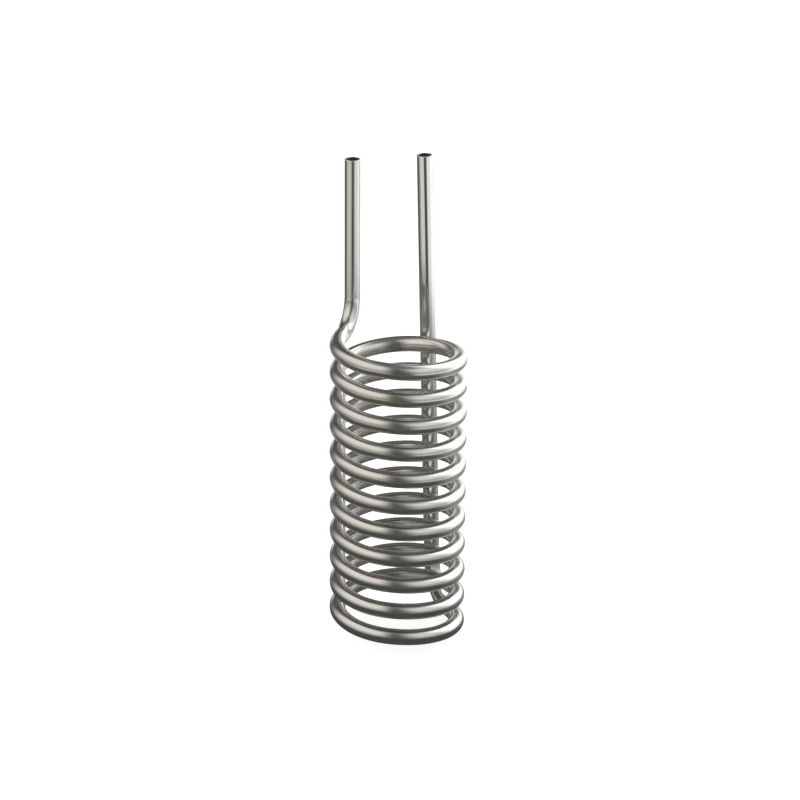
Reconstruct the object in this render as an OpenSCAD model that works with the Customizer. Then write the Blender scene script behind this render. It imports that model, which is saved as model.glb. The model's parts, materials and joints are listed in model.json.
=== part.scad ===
// Immersion wort chiller: one bent stainless tube, drawn as the stretches that a tube bender makes one after another.
// The tube comes down the supply riser, goes round the coil left, front, right and back as it drops, and rises again
// behind the coil. The front faces -Y. Each stretch starts in the plane where the one before it ends, so the bore is
// open from one mouth to the other.

/* [Tube] */
// Outside diameter of the tube
tube_d = 10; // [8:0.5:11]
// Thickness of the tube's wall
wall = 1; // [0.5:0.1:1.5]

/* [Coil] */
// Diameter of the coil at the middle of the tube
coil_d = 75; // [70:1:82]
// Drop of the coil in one turn
pitch = 17.5; // [14:0.1:24]
// Where the coil starts, counter-clockwise from the right-hand side as seen from above
start_angle = 160; // [155:1:170]
// Angle of the short arc that ends the coil, past the last quarter turn
last_arc_angle = 32; // [28:1:40]

/* [Supply riser] */
// Radius of the bend at the middle of the tube
supply_bend_r = 20; // [16:1:30]
// Length of the straight tube above the bend
supply_length = 88; // [40:1:150]

/* [Return riser] */
// Length of the straight tube between the coil and the bend
lead_out = 10; // [10:1:30]
// Radius of the bend at the middle of the tube
return_bend_r = 24; // [24:1:32]
// Length of the straight tube above the bend
return_length = 269; // [200:1:330]
// Lean of the riser to the left
return_lean = 1.5; // [0:0.1:2]

/* [Hidden] */
$fn = 96;
turns = 11;
arcs_per_turn = 4;
last_turn_arcs = 2;
tube_r = tube_d / 2;
bore_r = tube_r - wall;
coil_r = coil_d / 2;
up = [0, 0, 1];
steel = [0.72, 0.71, 0.69];

// The coil is a chain of equal flat arcs of 90 degrees. The plane of each arc is twisted about the tube from the
// plane of the arc before it, half of the twist on each side of the joint, and this makes the chain drop.
// These give the arc's radius, and the chain's turn and drop in one arc, for the sine of half the twist.
function arc_r_for(twist) = coil_r * (1 + twist * twist) / sqrt(1 - twist * twist);
function turn_for(twist) = 90 + asin(twist * twist);
function drop_for(twist) = 2 * arc_r_for(twist) * twist / sqrt(1 + twist * twist);
function pitch_for(twist) = drop_for(twist) * 360 / turn_for(twist);
// The twist that gives the pitch. Its cosine is a whole number of millionths, so that neighbouring arcs meet exactly.
near_twist = pitch / (arcs_per_turn * coil_d);
half_twist = acos(round(cos(asin(near_twist * pitch / pitch_for(near_twist))) * 1e6) / 1e6);
twist_sine = sin(half_twist);
arc_r = arc_r_for(twist_sine);
arc_turn = turn_for(twist_sine);
arc_drop = drop_for(twist_sine);
slope = atan(twist_sine);

function unit(v) = v / norm(v);
// Unit vector square to a direction of travel, on the side of a goal direction
function side_towards(travel, goal) = unit(goal - (goal * travel) * travel);
// Where a bend ends, and the direction of travel there
function bend_end(start, travel, side, bend_r, angle) =
    start + bend_r * (sin(angle) * travel + (1 - cos(angle)) * side);
function bend_travel(travel, side, angle) = cos(angle) * travel + sin(angle) * side;

// Joint number n of the chain: its place, the direction of travel there, and the side that the coil's axis is on
function joint_angle(n) = start_angle + n * arc_turn;
function joint_point(n) = [coil_r * cos(joint_angle(n)), coil_r * sin(joint_angle(n)), -n * arc_drop];
function joint_travel(n) =
    [-sin(joint_angle(n)) * cos(slope), cos(joint_angle(n)) * cos(slope), -sin(slope)];
function joint_side(n) = -[cos(joint_angle(n)), sin(joint_angle(n)), 0];

// End of the coil
last_joint = (turns - 1) * arcs_per_turn + last_turn_arcs;
last_up = cross(joint_travel(last_joint), joint_side(last_joint));
last_side = cos(half_twist) * joint_side(last_joint) - sin(half_twist) * last_up;
coil_end = bend_end(joint_point(last_joint), joint_travel(last_joint), last_side, arc_r, last_arc_angle);
coil_end_travel = bend_travel(joint_travel(last_joint), last_side, last_arc_angle);

// Bend behind the coil, and the riser above it
return_start = coil_end + lead_out * coil_end_travel;
return_up = [-sin(return_lean), 0, cos(return_lean)];
return_side = side_towards(coil_end_travel, return_up);
return_turn = acos(coil_end_travel * return_up);
return_foot = bend_end(return_start, coil_end_travel, return_side, return_bend_r, return_turn);

// Bend above the coil, followed backwards from the coil's start
supply_travel = -joint_travel(0);
supply_side = side_towards(supply_travel, up);
supply_turn = acos(supply_travel * up);
supply_foot = bend_end(joint_point(0), supply_travel, supply_side, supply_bend_r, supply_turn);

// The origin is under the middle of the object, level with its lowest point, which is in the bend behind the coil
return_normal = cross(coil_end_travel, return_side);
lowest = return_start[2] + return_bend_r * (return_side[2] - norm([return_normal[0], return_normal[1]])) - tube_r;
coil_y = (coil_r - return_foot[1]) / 2;

// Puts a stretch of tube in its place. As drawn, a stretch starts at the origin, sets out along +Y and bends to -X.
module set_out(start, travel, side) {
    normal = cross(travel, side);
    color(steel)
        translate([0, coil_y, -lowest])
            multmatrix([
                [-side[0], travel[0], normal[0], start[0]],
                [-side[1], travel[1], normal[1], start[1]],
                [-side[2], travel[2], normal[2], start[2]]
            ])
                children();
}

module tube_section() {
    difference() {
        circle(r = tube_r);
        circle(r = bore_r);
    }
}

module straight_tube(length) {
    rotate([-90, 0, 0])
        linear_extrude(height = length)
            tube_section();
}

module bent_tube(bend_r, angle) {
    translate([-bend_r, 0, 0])
        rotate_extrude(angle = angle)
            translate([bend_r, 0, 0])
                tube_section();
}

// Chain of arcs, each one carried at the far end of the arc before it. The last one may be short.
module arc_chain(arcs, last_angle) {
    rotate([0, -half_twist, 0]) {
        bent_tube(arc_r, arcs > 1 ? 90 : last_angle);
        if (arcs > 1)
            translate([-arc_r, 0, 0])
                rotate([0, 0, 90])
                    translate([arc_r, 0, 0])
                        rotate([0, -half_twist, 0])
                            arc_chain(arcs - 1, last_angle);
    }
}

module turn(number) {
    first = (number - 1) * arcs_per_turn;
    set_out(joint_point(first), joint_travel(first), joint_side(first)) {
        if (number < turns)
            arc_chain(arcs_per_turn, 90);
        else
            arc_chain(last_turn_arcs + 1, last_arc_angle);
    }
}

module supply_bend() {
    set_out(joint_point(0), supply_travel, supply_side)
        bent_tube(supply_bend_r, supply_turn);
}

module supply_riser() {
    set_out(supply_foot, up, [0, -1, 0])
        straight_tube(supply_length);
}

module return_bend() {
    set_out(return_start, coil_end_travel, return_side) {
        bent_tube(return_bend_r, return_turn);
        translate([0, -lead_out, 0])
            straight_tube(lead_out);
    }
}

module return_riser() {
    set_out(return_foot, return_up, [0, -1, 0])
        straight_tube(return_length);
}

supply_riser();
supply_bend();
turn(1);  // turn_01
turn(2);  // turn_02
turn(3);  // turn_03
turn(4);  // turn_04
turn(5);  // turn_05
turn(6);  // turn_06
turn(7);  // turn_07
turn(8);  // turn_08
turn(9);  // turn_09
turn(10);  // turn_10
turn(11);  // turn_11
return_bend();
return_riser();
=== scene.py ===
import json
import math

import bpy
import numpy as np
from mathutils import Matrix, Vector


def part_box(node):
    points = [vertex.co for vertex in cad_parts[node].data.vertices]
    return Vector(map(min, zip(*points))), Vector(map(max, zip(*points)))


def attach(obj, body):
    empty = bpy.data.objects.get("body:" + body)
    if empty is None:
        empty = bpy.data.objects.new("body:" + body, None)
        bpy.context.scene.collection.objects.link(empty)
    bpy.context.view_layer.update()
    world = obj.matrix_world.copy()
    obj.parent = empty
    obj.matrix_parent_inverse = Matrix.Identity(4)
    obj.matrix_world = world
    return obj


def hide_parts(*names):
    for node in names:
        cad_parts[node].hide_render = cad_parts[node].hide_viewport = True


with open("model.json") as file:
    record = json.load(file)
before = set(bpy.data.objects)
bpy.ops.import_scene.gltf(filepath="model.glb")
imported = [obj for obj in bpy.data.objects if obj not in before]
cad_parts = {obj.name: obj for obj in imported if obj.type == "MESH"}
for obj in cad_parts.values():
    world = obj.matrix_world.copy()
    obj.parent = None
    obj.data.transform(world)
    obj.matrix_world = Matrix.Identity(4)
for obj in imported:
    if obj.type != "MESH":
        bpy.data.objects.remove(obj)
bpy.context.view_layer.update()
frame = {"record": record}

MM = 0.001
RECORD = frame["record"]
MOUNTS = {m["name"]: m for m in RECORD["mounts"]}

# ---------------------------------------------------------------- the tube's centreline, from the CAD frame

TURNS = 11
ARCS_PER_TURN = 4
LAST_TURN_ARCS = 2
START_ANGLE = math.radians(160)     # where the coil starts, counter-clockwise from +X as seen from above
LAST_ARC_ANGLE = math.radians(32)   # the short arc that ends the coil
SUPPLY_BEND_R = 20 * MM
RETURN_BEND_R = 24 * MM
LEAD_OUT = 10 * MM
UP = np.array([0.0, 0.0, 1.0])

TUBE_R = MOUNTS["supply_outside"]["dims"]["r_mm"] * MM
BORE_R = MOUNTS["supply_bore"]["dims"]["r_mm"] * MM


def unit(v):
    return v / np.linalg.norm(v)


def turn_node(number):
    return f"turn_{number:02d}"


turn_boxes = [[np.array(corner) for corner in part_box(turn_node(n))] for n in range(1, TURNS)]
coil_low = np.min([box[0] for box in turn_boxes], axis=0)
coil_high = np.max([box[1] for box in turn_boxes], axis=0)
COIL_R = (coil_high[0] - coil_low[0]) / 2 - TUBE_R
COIL_AXIS = (coil_low + coil_high) / 2
ARC_DROP = (turn_boxes[0][0][2] - turn_boxes[-1][0][2]) / (len(turn_boxes) - 1) / ARCS_PER_TURN

# The twist between neighbouring arcs, from the drop of one. With t for the sine of half of it:
# drop = 2 r t / sqrt(1 + t t), and r = coil_r (1 + t t) / sqrt(1 - t t)
TWIST_ROUNDS = 20
twist_sine = ARC_DROP / (2 * COIL_R)
for _ in range(TWIST_ROUNDS):
    arc_r = COIL_R * (1 + twist_sine ** 2) / math.sqrt(1 - twist_sine ** 2)
    twist_sine = ARC_DROP * math.sqrt(1 + twist_sine ** 2) / (2 * arc_r)
HALF_TWIST = math.asin(twist_sine)
ARC_TURN = math.pi / 2 + math.asin(twist_sine ** 2)
SLOPE = math.atan(twist_sine)


def arc_points(start, travel, side, bend_r, angle, steps):
    """Points and directions of travel along a bend, its first point included and its last one left out."""
    a = np.linspace(0, angle, steps, endpoint=False)[:, None]
    points = start + bend_r * (np.sin(a) * travel + (1 - np.cos(a)) * side)
    return points, np.cos(a) * travel + np.sin(a) * side


def arc_end(start, travel, side, bend_r, angle):
    points = start + bend_r * (math.sin(angle) * travel + (1 - math.cos(angle)) * side)
    return points, math.cos(angle) * travel + math.sin(angle) * side


def straight_points(start, travel, length, steps):
    along = np.linspace(0, length, steps, endpoint=False)[:, None]
    return start + along * travel, np.repeat(travel[None], steps, axis=0)


def joint(n):
    """Joint number n of the coil's arcs: its place, its direction of travel and its side towards the axis."""
    angle = START_ANGLE + n * ARC_TURN
    out = np.array([math.cos(angle), math.sin(angle), 0.0])
    place = np.array([COIL_AXIS[0], COIL_AXIS[1], coil_top]) + COIL_R * out - n * ARC_DROP * UP
    level = np.array([-math.sin(angle), math.cos(angle), 0.0])
    travel = math.cos(SLOPE) * level - math.sin(SLOPE) * UP
    return place, travel, -out


def arc_side(n):
    """Towards the centre of the arc that sets out from joint n."""
    _, travel, side = joint(n)
    return math.cos(HALF_TWIST) * side - math.sin(HALF_TWIST) * np.cross(travel, side)


# The riser ends come from the mounts, and the coil's height from where the supply bend leaves the riser
supply_top = np.array(MOUNTS["supply_bore"]["pos_m"])
supply_foot = supply_top - UP * MOUNTS["supply_bore"]["dims"]["length_mm"] * MM
return_up = unit(np.array(MOUNTS["return_bore"]["axis"]))
return_top = np.array(MOUNTS["return_bore"]["pos_m"])
return_foot = return_top - return_up * MOUNTS["return_bore"]["dims"]["length_mm"] * MM

coil_top = 0.0
_, first_travel, _ = joint(0)
supply_travel = -first_travel
supply_side = unit(UP - (UP @ supply_travel) * supply_travel)
supply_turn = math.acos(supply_travel @ UP)
foot_rise, _ = arc_end(np.zeros(3), supply_travel, supply_side, SUPPLY_BEND_R, supply_turn)
coil_top = supply_foot[2] - foot_rise[2]

last_joint = (TURNS - 1) * ARCS_PER_TURN + LAST_TURN_ARCS
last_place, last_travel, _ = joint(last_joint)
coil_end, coil_end_travel = arc_end(last_place, last_travel, arc_side(last_joint), arc_r, LAST_ARC_ANGLE)
return_start = coil_end + LEAD_OUT * coil_end_travel
return_side = unit(return_up - (return_up @ coil_end_travel) * coil_end_travel)
return_turn = math.acos(return_up @ coil_end_travel)

RING_STEP = math.radians(3)     # of bend, between the rings of the tube's surface
LEAD_RINGS = 4
SUPPLY_RINGS = 22
RETURN_RINGS = 67


def steps_of(angle):
    return max(2, round(angle / RING_STEP))


def supply_bend_points():
    """The supply bend followed down, from the riser's foot to the coil."""
    steps = steps_of(supply_turn)
    start = joint(0)[0]
    a = np.linspace(supply_turn, 0, steps, endpoint=False)[:, None]
    points = start + SUPPLY_BEND_R * (np.sin(a) * supply_travel + (1 - np.cos(a)) * supply_side)
    return points, -(np.cos(a) * supply_travel + np.sin(a) * supply_side)


def turn_points(number):
    first = (number - 1) * ARCS_PER_TURN
    arcs = ARCS_PER_TURN if number < TURNS else LAST_TURN_ARCS + 1
    parts = []
    for n in range(first, first + arcs):
        angle = LAST_ARC_ANGLE if n == last_joint else math.pi / 2
        place, travel, _ = joint(n)
        parts.append(arc_points(place, travel, arc_side(n), arc_r, angle, steps_of(angle)))
    return tuple(np.concatenate(group) for group in zip(*parts))


def return_bend_points():
    steps = steps_of(return_turn)
    lead = straight_points(coil_end, coil_end_travel, LEAD_OUT, LEAD_RINGS)
    bend = arc_points(return_start, coil_end_travel, return_side, RETURN_BEND_R, return_turn, steps)
    return tuple(np.concatenate(group) for group in zip(lead, bend))


supply_length = np.linalg.norm(supply_top - supply_foot)
return_length = np.linalg.norm(return_top - return_foot)
stretches = [("supply_riser", straight_points(supply_top, -UP, supply_length, SUPPLY_RINGS))]
stretches.append(("supply_bend", supply_bend_points()))
stretches += [(turn_node(n), turn_points(n)) for n in range(1, TURNS + 1)]
stretches.append(("return_bend", return_bend_points()))
stretches.append(("return_riser", straight_points(return_foot, return_up, return_length, RETURN_RINGS)))

line = np.concatenate([points for _, (points, _) in stretches] + [return_top[None]])
travels = np.concatenate([travel for _, (_, travel) in stretches] + [return_up[None]])
along = np.concatenate([[0], np.cumsum(np.linalg.norm(np.diff(line, axis=0), axis=1))])

# A side vector carried along the tube without turning about it, so that drawn lines run true all the way
NO_STEP = 1e-18
sides = np.zeros_like(line)
sides[0] = np.array([0.0, -1.0, 0.0])
for i in range(len(line) - 1):
    chord = line[i + 1] - line[i]
    c = chord @ chord
    side = sides[i] - 2 / c * (chord @ sides[i]) * chord
    turned = travels[i] - 2 / c * (chord @ travels[i]) * chord
    step = travels[i + 1] - turned
    d = step @ step
    sides[i + 1] = side - (2 / d * (step @ side) * step if d > NO_STEP else 0)
    sides[i + 1] = unit(sides[i + 1] - (sides[i + 1] @ travels[i + 1]) * travels[i + 1])
others = np.cross(travels, sides)

# ---------------------------------------------------------------- the tube's surface

AROUND = 72
ROUND_OUT = 0.3 * MM     # how far the cut ends are rounded, outside and inside
ROUND_IN = 0.22 * MM
ROUND_STEPS = 5
SAME_PLACE = 1e9        # stations that agree to a nanometre share a ring
SKIN, CUT, BORE = 0, 1, 2       # the material slots of a stretch


def rounded(radius, bulge, sign):
    """The edge of a cut end, from the wall to the face. Each ring of it is a distance back from the mouth, a
    radius, and the radial and forward parts of the normal."""
    edge = []
    for t in np.linspace(0, math.pi / 2, ROUND_STEPS + 1):
        back = bulge * (1 - math.sin(t))
        inward = bulge * (1 - math.cos(t))
        edge.append((back, radius - sign * inward, sign * math.cos(t), math.sin(t)))
    return edge


def station(at):
    """Place and frame of the centreline at a distance along it."""
    at = min(max(at, 0.0), along[-1])
    i = min(int(np.searchsorted(along, at, side="right")) - 1, len(along) - 2)
    t = (at - along[i]) / (along[i + 1] - along[i])
    return [(1 - t) * group[i] + t * group[i + 1] for group in (line, travels, sides, others)]


def tube_mesh(name, first, last, mouth_start, mouth_end):
    """A closed stretch of tube between two centreline stations, with a rounded end where it has a mouth."""
    start_at, end_at = along[first], along[last]
    # Each band is a material slot and its rings. A ring is a distance along the tube, a radius, and the
    # radial and forward parts of the normal.
    bands = []

    def wall(radius, sign, low, high):
        between = [a for a in along[first + 1:last] if low < a < high]
        return [(a, radius, sign, 0.0) for a in (low, *between, high)]

    low_out = start_at + (ROUND_OUT if mouth_start else 0)
    low_in = start_at + (ROUND_IN if mouth_start else 0)
    high_out = end_at - (ROUND_OUT if mouth_end else 0)
    high_in = end_at - (ROUND_IN if mouth_end else 0)
    bands.append((SKIN, wall(TUBE_R, 1, low_out, high_out)))
    if mouth_end:
        edge_out = [(end_at - b, r, n, f) for b, r, n, f in rounded(TUBE_R, ROUND_OUT, 1)]
        edge_in = [(end_at - b, r, n, f) for b, r, n, f in rounded(BORE_R, ROUND_IN, -1)]
        bands += [(CUT, edge_out), (CUT, [edge_out[-1], edge_in[-1]]), (CUT, edge_in[::-1])]
    else:
        bands.append((CUT, [(end_at, TUBE_R, 0.0, 1.0), (end_at, BORE_R, 0.0, 1.0)]))
    bands.append((BORE, wall(BORE_R, -1, low_in, high_in)[::-1]))
    if mouth_start:
        edge_out = [(start_at + b, r, n, -f) for b, r, n, f in rounded(TUBE_R, ROUND_OUT, 1)]
        edge_in = [(start_at + b, r, n, -f) for b, r, n, f in rounded(BORE_R, ROUND_IN, -1)]
        bands += [(CUT, edge_in), (CUT, [edge_in[-1], edge_out[-1]]), (CUT, edge_out[::-1])]
    else:
        bands.append((CUT, [(start_at, BORE_R, 0.0, -1.0), (start_at, TUBE_R, 0.0, -1.0)]))

    ring_of, rings = {}, []

    def ring(at, radius):
        key = (round(at * SAME_PLACE), round(radius * SAME_PLACE))
        if key not in ring_of:
            ring_of[key] = len(rings)
            rings.append((at, radius))
        return ring_of[key]

    theta = np.arange(AROUND) * 2 * math.pi / AROUND
    cos, sin = np.cos(theta)[:, None], np.sin(theta)[:, None]
    faces, normals, slots = [], [], []
    for slot_index, stations in bands:
        frames = [station(s[0]) for s in stations]
        for (sa, fa), (sb, fb) in zip(zip(stations, frames), zip(stations[1:], frames[1:])):
            ra, rb = ring(sa[0], sa[1]), ring(sb[0], sb[1])
            i = np.arange(AROUND)
            j = (i + 1) % AROUND
            quad = np.stack([ra * AROUND + i, ra * AROUND + j, rb * AROUND + j, rb * AROUND + i], axis=1)
            na = sa[2] * (cos * fa[2] + sin * fa[3]) + sa[3] * fa[1]
            nb = sb[2] * (cos * fb[2] + sin * fb[3]) + sb[3] * fb[1]
            faces.append(quad)
            normals.append(np.stack([na[i], na[j], nb[j], nb[i]], axis=1))
            slots.append(np.full(AROUND, slot_index))
    points, flow = [], []
    for at, radius in rings:
        place, _, side, other = station(at)
        points.append(place + radius * (cos * side + sin * other))
        flow.append(np.concatenate([np.full((AROUND, 1), at), radius * cos, radius * sin], axis=1))
    points, flow = np.concatenate(points), np.concatenate(flow)
    faces, normals, slots = np.concatenate(faces), np.concatenate(normals), np.concatenate(slots)

    mesh = bpy.data.meshes.new(name)
    mesh.from_pydata(points.tolist(), [], faces.tolist())
    mesh.polygons.foreach_set("material_index", slots.astype(np.int32))
    mesh.polygons.foreach_set("use_smooth", np.ones(len(faces), bool))
    flow_attribute = mesh.attributes.new("flow", "FLOAT_VECTOR", "POINT")
    flow_attribute.data.foreach_set("vector", flow.astype(np.float32).ravel())
    mesh.update()
    mesh.normals_split_custom_set([tuple(n) for n in normals.reshape(-1, 3)])
    return mesh


# ---------------------------------------------------------------- materials

STEEL = (0.60, 0.596, 0.583)
SATIN = 0.2      # roughness
BRIGHT = 0.07
POLISH_FROM = along[-1] - 0.11      # metres along the tube
POLISH_TO = along[-1] - 0.06
MIDDLE = (0.3, 0.7)     # where most of a noise lies
CUTTER_RING = 0.12 * MM


class NodeTree:
    """Builds a node tree. A value given to a socket is a number, a colour or another node's socket."""

    def __init__(self, tree):
        self.tree = tree
        tree.nodes.clear()

    def node(self, kind, *values, **settings):
        node = self.tree.nodes.new(kind)
        for key, value in settings.items():
            setattr(node, key, value)
        for socket, value in zip(node.inputs, values):
            self.put(socket, value)
        return node

    def put(self, socket, value):
        if isinstance(value, bpy.types.NodeSocket):
            self.tree.links.new(value, socket)
        else:
            socket.default_value = value

    def math(self, operation, *values):
        return self.node("ShaderNodeMath", *values, operation=operation).outputs[0]

    def spread(self, value, low, high, to_low, to_high):
        """The value's smooth passage from to_low at low to to_high at high, and level beyond them."""
        values = (value, low, high, to_low, to_high)
        return self.node("ShaderNodeMapRange", *values, interpolation_type="SMOOTHSTEP").outputs[0]

    def ramp(self, value, low, high):
        return self.spread(value, low, high, 0.0, 1.0)

    def window(self, value, edges):
        """1 in the middle of a span, with a smooth slope at both ends of it."""
        up = self.ramp(value, *edges[:2])
        down = self.math("SUBTRACT", 1.0, self.ramp(value, *edges[2:]))
        return self.math("MULTIPLY", up, down)

    def blend(self, share, first, second):
        node = self.node("ShaderNodeMix", data_type="RGBA")
        self.put(node.inputs[0], share)
        self.put(node.inputs[6], first)
        self.put(node.inputs[7], second)
        return node.outputs[2]

    def scaled(self, vector, share):
        node = self.node("ShaderNodeVectorMath", vector, operation="SCALE")
        self.put(node.inputs["Scale"], share)
        return node.outputs[0]

    def added(self, first, second):
        return self.node("ShaderNodeVectorMath", first, second, operation="ADD").outputs[0]


class Steel(NodeTree):
    """A steel material, with its textures laid along the tube by the flow attribute."""

    def __init__(self, name):
        self.material = bpy.data.materials.new(name)
        self.material.use_nodes = True
        super().__init__(self.material.node_tree)
        self.shader = self.node("ShaderNodeBsdfPrincipled")
        self.node("ShaderNodeOutputMaterial", self.shader.outputs[0])
        self.set("Metallic", 1.0)
        self.flow = self.node("ShaderNodeAttribute", attribute_name="flow").outputs["Vector"]

    def set(self, name, value):
        self.put(self.shader.inputs[name], value)

    def noise(self, along, across, detail=2.0, rough=0.5):
        """Noise about 0.5, in cells of those lengths in millimetres along and across the tube."""
        cells = (1 / (along * MM), 1 / (across * MM), 1 / (across * MM))
        place = self.node("ShaderNodeVectorMath", self.flow, cells, operation="MULTIPLY").outputs[0]
        node = self.node("ShaderNodeTexNoise", place)
        self.put(node.inputs["Scale"], 1.0)
        self.put(node.inputs["Detail"], detail)
        self.put(node.inputs["Roughness"], rough)
        return node.outputs["Fac"]

    def bump(self, height, distance, under=None):
        node = self.node("ShaderNodeBump")
        self.put(node.inputs["Height"], height)
        self.put(node.inputs["Distance"], distance)
        self.put(node.inputs["Strength"], 1.0)
        if under is not None:
            self.put(node.inputs["Normal"], under)
        return node.outputs[0]


def shade(colour, factor):
    return (*[c * factor for c in colour], 1)


def drawn_steel(name):
    """The outside of the tube: drawn and satin, and polished at the top of the return riser."""
    steel = Steel(name)
    lines = steel.noise(along=40, across=0.35, detail=3.0, rough=0.6)         # the die's lines
    grain = steel.noise(along=1.4, across=0.7, detail=3.0, rough=0.7)
    fine = steel.noise(along=0.5, across=0.22, detail=2.0, rough=0.6)
    patches = steel.noise(along=26, across=7, detail=3.0, rough=0.55)
    smudges = steel.noise(along=9, across=5, detail=2.0, rough=0.5)
    travelled = steel.node("ShaderNodeSeparateXYZ", steel.flow).outputs[0]
    polish = steel.ramp(travelled, POLISH_FROM, POLISH_TO)

    from_lines = steel.spread(lines, *MIDDLE, -0.015, 0.015)
    from_patches = steel.spread(patches, *MIDDLE, -0.015, 0.015)
    rough = steel.math("ADD", from_lines, from_patches)
    rough = steel.math("ADD", rough, steel.spread(grain, *MIDDLE, -0.02, 0.02))
    rough = steel.math("ADD", rough, steel.spread(smudges, 0.55, 0.8, 0.0, 0.03))
    level = steel.math("ADD", SATIN, steel.math("MULTIPLY", polish, BRIGHT - SATIN))
    calm = steel.math("SUBTRACT", 1.0, steel.math("MULTIPLY", polish, 0.5))
    steel.set("Roughness", steel.math("ADD", level, steel.math("MULTIPLY", rough, calm)))

    tone = steel.blend(steel.ramp(patches, *MIDDLE), shade(STEEL, 0.96), shade(STEEL, 1.03))
    tone = steel.blend(steel.spread(lines, 0.42, 0.3, 0.0, 0.35), tone, shade(STEEL, 0.86))
    tone = steel.blend(steel.math("MULTIPLY", steel.ramp(grain, 0.5, 0.25), calm), tone, shade(STEEL, 0.88))
    tone = steel.blend(steel.math("MULTIPLY", polish, 0.5), tone, shade(STEEL, 1.16))
    steel.set("Base Color", tone)

    steel.set("Normal", steel.bump(fine, 0.004 * MM, steel.bump(lines, 0.010 * MM)))
    return steel.material


def cut_steel(name):
    """The cut ends: rings left by the tube cutter, on a deburred edge, with a colour lighter than the tube's
    steel as painted highlight.
    """
    steel = Steel(name)
    across = steel.node("ShaderNodeVectorMath", steel.flow, (0, 1, 1), operation="MULTIPLY").outputs[0]
    radius = steel.node("ShaderNodeVectorMath", across, operation="LENGTH").outputs["Value"]
    rings = steel.math("SINE", steel.math("MULTIPLY", radius, 2 * math.pi / CUTTER_RING))
    wear_and_highlight = steel.noise(along=1.5, across=1.5, detail=3.0, rough=0.6)
    # painted highlight: the cut ends' colour is 1.25 to 1.45 times the steel's, mottled at random by the
    # noise
    steel.set("Base Color", steel.blend(steel.ramp(wear_and_highlight, 0.35, 0.7), shade(STEEL, 1.25), shade(STEEL, 1.45)))
    steel.set("Roughness", steel.spread(wear_and_highlight, *MIDDLE, 0.26, 0.4))
    steel.set("Normal", steel.bump(steel.math("MULTIPLY", steel.math("ADD", rings, 1.0), wear_and_highlight), 0.006 * MM))
    return steel.material


def bore_steel(name):
    """The inside: as drawn, duller than the outside, and its colour darkened as painted shade inside the
    bore.
    """
    steel = Steel(name)
    lines = steel.noise(along=30, across=0.4, detail=3.0, rough=0.6)
    mottle_and_shade = steel.noise(along=3, across=2.2, detail=4.0, rough=0.6)
    # painted shade: the bore's colour is 0.4 to 0.65 of the steel's, mottled at random by the noise, which
    # also sets the roughness
    steel.set("Base Color", steel.blend(steel.ramp(mottle_and_shade, 0.35, 0.7), shade(STEEL, 0.4), shade(STEEL, 0.65)))
    steel.set("Roughness", steel.spread(mottle_and_shade, *MIDDLE, 0.36, 0.5))
    steel.set("Normal", steel.bump(lines, 0.02 * MM))
    return steel.material


skin = drawn_steel("stainless_drawn")
cut = cut_steel("stainless_cut")
bore = bore_steel("stainless_bore")

# ---------------------------------------------------------------- the pieces

first = 0
for node, (points, _) in stretches:
    last = first + len(points)
    mesh = tube_mesh(f"{node}_tube", first, last, node == "supply_riser", node == "return_riser")
    piece = bpy.data.objects.new(f"{node}_tube", mesh)
    bpy.context.scene.collection.objects.link(piece)
    for material in (skin, cut, bore):
        mesh.materials.append(material)
    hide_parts(node)
    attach(piece, "root")
    first = last

# ---------------------------------------------------------------- floor

FLOOR_HALF = 8.0
CORNERS = ((-1, -1), (1, -1), (1, 1), (-1, 1))
PAPER = (0.3, 0.3, 0.3, 1)
PAPER_GLOW = 0.88       # the paper is lit from below, as on a light table
WHITE = (1, 1, 1, 1)
floor_mesh = bpy.data.meshes.new("floor")
floor_mesh.from_pydata([(x * FLOOR_HALF, y * FLOOR_HALF, 0) for x, y in CORNERS], [], [(0, 1, 2, 3)])
floor = bpy.data.objects.new("floor", floor_mesh)
bpy.context.scene.collection.objects.link(floor)
paper = bpy.data.materials.new("white_paper")
paper.use_nodes = True
paper_shader = paper.node_tree.nodes["Principled BSDF"]
paper_shader.inputs["Base Color"].default_value = PAPER
paper_shader.inputs["Roughness"].default_value = 1
paper_shader.inputs["Specular IOR Level"].default_value = 0
paper_shader.inputs["Emission Color"].default_value = WHITE
paper_shader.inputs["Emission Strength"].default_value = PAPER_GLOW
floor_mesh.materials.append(paper)
floor.visible_glossy = False

# ---------------------------------------------------------------- camera

CAMERA_RISE = math.radians(20.735)
CAMERA_ROLL = math.radians(0.394)
CAMERA_DISTANCE = 2.0117
CAMERA_TARGET = Vector((COIL_AXIS[0], COIL_AXIS[1], coil_top - 40 * MM))
SENSOR_WIDTH = 36       # millimetres, as is the focal length
FOCAL_LENGTH = 146.9
SHIFT = (0.00224, 0.0051)
CLIP = (0.05, 50)
camera_data = bpy.data.cameras.new("camera")
camera_data.sensor_width = SENSOR_WIDTH
camera_data.lens = FOCAL_LENGTH
camera_data.shift_x, camera_data.shift_y = SHIFT
camera_data.clip_start, camera_data.clip_end = CLIP
camera = bpy.data.objects.new("camera", camera_data)
bpy.context.scene.collection.objects.link(camera)
away = Vector((0, -math.cos(CAMERA_RISE), math.sin(CAMERA_RISE)))
camera.rotation_mode = "QUATERNION"
camera.location = CAMERA_TARGET + CAMERA_DISTANCE * away
roll = Matrix.Rotation(CAMERA_ROLL, 3, "Z").to_quaternion()
camera.rotation_quaternion = away.to_track_quat("Z", "Y") @ roll
bpy.context.scene.camera = camera

# ---------------------------------------------------------------- light

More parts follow.
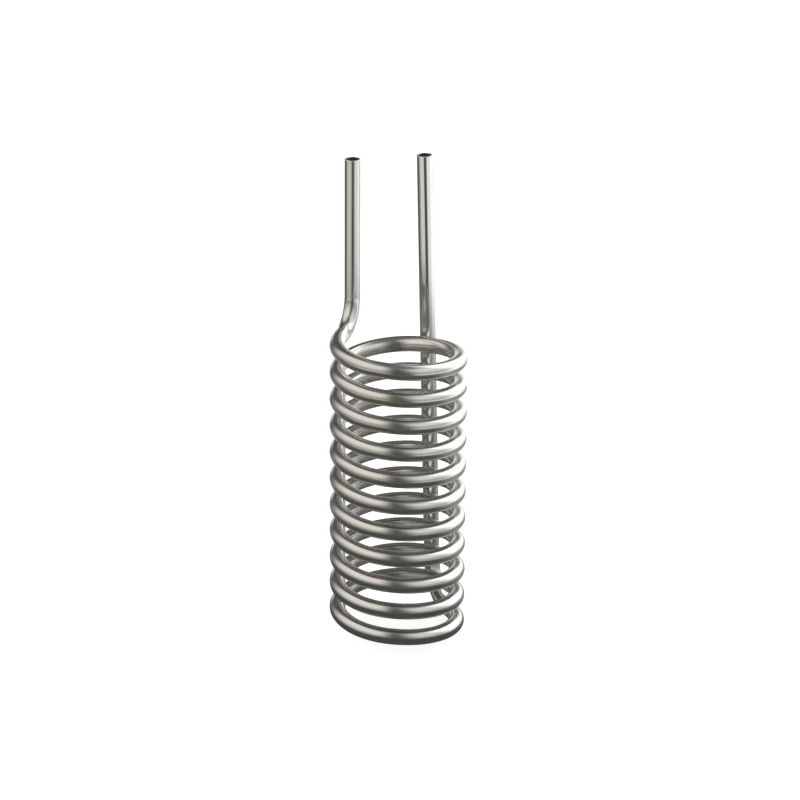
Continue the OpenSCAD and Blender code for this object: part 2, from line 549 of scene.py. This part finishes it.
# The room as the steel shows it. Headings go round from the front (-Y) to the right (+X), and rises are above
# the horizon, in degrees. A light panel has four headings and four rises, where its soft edges start and end,
# and a colour.
PANELS = [
    ((-145, -112, -32, -2), (-24, 40, 56, 84), (1.06, 1.015, 0.935)),  # the warm panel on the left
    ((4, 48, 148, 170), (-24, 40, 48, 76), (0.95, 0.95, 0.93)),        # the white panel on the right
    ((80, 114, 148, 170), (-26, 2, 48, 74), (1.20, 1.20, 1.20)),        # the key light in it
    ((-100, -66, -19, -8), (-34, -26, -14, -3), (0.78, 0.75, 0.68)),    # four stretches of the far table
    ((18, 34, 118, 140), (-34, -26, -12, 2), (0.98, 0.97, 0.955)),
    ((118, 140, 200, 232), (-34, -26, -18, -9), (0.85, 0.85, 0.84)),
    ((62, 78, 104, 118), (-34, -26, -18, -9), (0.35, 0.35, 0.36)),
    ((148, 160, 200, 214), (-18, -9, 7, 16), (0.92, 0.92, 0.91)),        # the white sweep behind
]
OVERHEAD = (0.20, 0.195, 0.18)
GAP = (0.125, 0.120, 0.107)
UNDERFOOT = (0.092, 0.097, 0.086)
HORIZON = (-34.0, -4.0)     # rises over which what is underfoot gives way to the gap between the panels
CEILING = (40.0, 75.0)      # rises over which the gap gives way to what is overhead
HEADING_SEAM = -120.0       # headings left of this count as going round by the right, up to 240
FULL_TURN = 360.0

world = bpy.data.worlds.new("studio")
bpy.context.scene.world = world
world.use_nodes = True
room = NodeTree(world.node_tree)
direction = room.node("ShaderNodeSeparateXYZ", room.node("ShaderNodeTexCoord").outputs["Generated"]).outputs
heading = room.math("DEGREES", room.math("ARCTAN2", direction[0], room.math("MULTIPLY", direction[1], -1.0)))
past_left = room.math("MULTIPLY", room.math("LESS_THAN", heading, HEADING_SEAM), FULL_TURN)
right_heading = room.math("ADD", heading, past_left)
rise = room.math("DEGREES", room.math("ARCSINE", direction[2]))

above = room.ramp(rise, *HORIZON)
below = room.math("SUBTRACT", 1.0, above)
light = room.added(room.scaled(UNDERFOOT, below), room.scaled(GAP, above))
light = room.added(light, room.scaled([o - g for o, g in zip(OVERHEAD, GAP)], room.ramp(rise, *CEILING)))
for headings, rises, colour in PANELS:
    across = right_heading if headings[0] > 0 else heading
    share = room.math("MULTIPLY", room.window(across, headings), room.window(rise, rises))
    light = room.added(light, room.scaled(colour, share))
seen = room.node("ShaderNodeLightPath").outputs["Is Camera Ray"]
background = room.node("ShaderNodeBackground", room.blend(seen, light, WHITE))
room.node("ShaderNodeOutputWorld", background.outputs[0])

# A dark card on the table, seen only in the steel: it keeps the far table out of the coil's undersides
CARD_FADE = (0.52, 0.66)     # the card fades out between these distances from the middle
CARD_HALF = 0.7
CARD_FAR = (0.165, 0.168, 0.155)
CARD_BACK = (0.42, 0.42, 0.41)
CARD_HEIGHT = 0.2 * MM       # above the paper
CARD_SLANT = 0.5             # how far forward the back's edge comes for each metre to the right
CARD_OUTWARD = (0.05, 0.42)     # distances over which what is underfoot turns into the far colour
CARD_BEHIND = (-0.02, 0.16)     # distances behind the middle over which the back's colour comes in
card_mesh = bpy.data.meshes.new("dark_card")
card_mesh.from_pydata([(x * CARD_HALF, y * CARD_HALF, CARD_HEIGHT) for x, y in CORNERS], [], [(0, 1, 2, 3)])
card = bpy.data.objects.new("dark_card", card_mesh)
bpy.context.scene.collection.objects.link(card)
card_material = bpy.data.materials.new("dark_card")
card_material.use_nodes = True
sheet = NodeTree(card_material.node_tree)
place = sheet.node("ShaderNodeTexCoord").outputs["Object"]
spot = sheet.node("ShaderNodeSeparateXYZ", place).outputs
reach = sheet.node("ShaderNodeVectorMath", place, operation="LENGTH").outputs["Value"]
behind = sheet.math("ADD", spot[1], sheet.math("MULTIPLY", spot[0], CARD_SLANT))
tone = sheet.blend(sheet.ramp(reach, *CARD_OUTWARD), (*UNDERFOOT, 1), (*CARD_FAR, 1))
tone = sheet.blend(sheet.ramp(behind, *CARD_BEHIND), tone, (*CARD_BACK, 1))
glow = sheet.node("ShaderNodeEmission", tone).outputs[0]
clear = sheet.node("ShaderNodeBsdfTransparent").outputs[0]
faded = sheet.node("ShaderNodeMixShader", sheet.ramp(reach, *CARD_FADE), glow, clear).outputs[0]
sheet.node("ShaderNodeOutputMaterial", faded)
card_mesh.materials.append(card_material)
card.visible_camera = False
card.visible_diffuse = False
card.visible_shadow = False

# The overhead light on the paper, which is out of the steel's reflections
OVERHEAD_STRENGTH = 2.6
OVERHEAD_ANGLE = math.radians(70)
overhead = bpy.data.lights.new("overhead", "SUN")
overhead.energy = OVERHEAD_STRENGTH
overhead.angle = OVERHEAD_ANGLE
overhead_light = bpy.data.objects.new("overhead", overhead)
bpy.context.scene.collection.objects.link(overhead_light)
overhead_light.visible_glossy = False
bpy.context.scene.view_settings.view_transform = "Standard"

# ---------------------------------------------------------------- the end

bpy.context.view_layer.update()
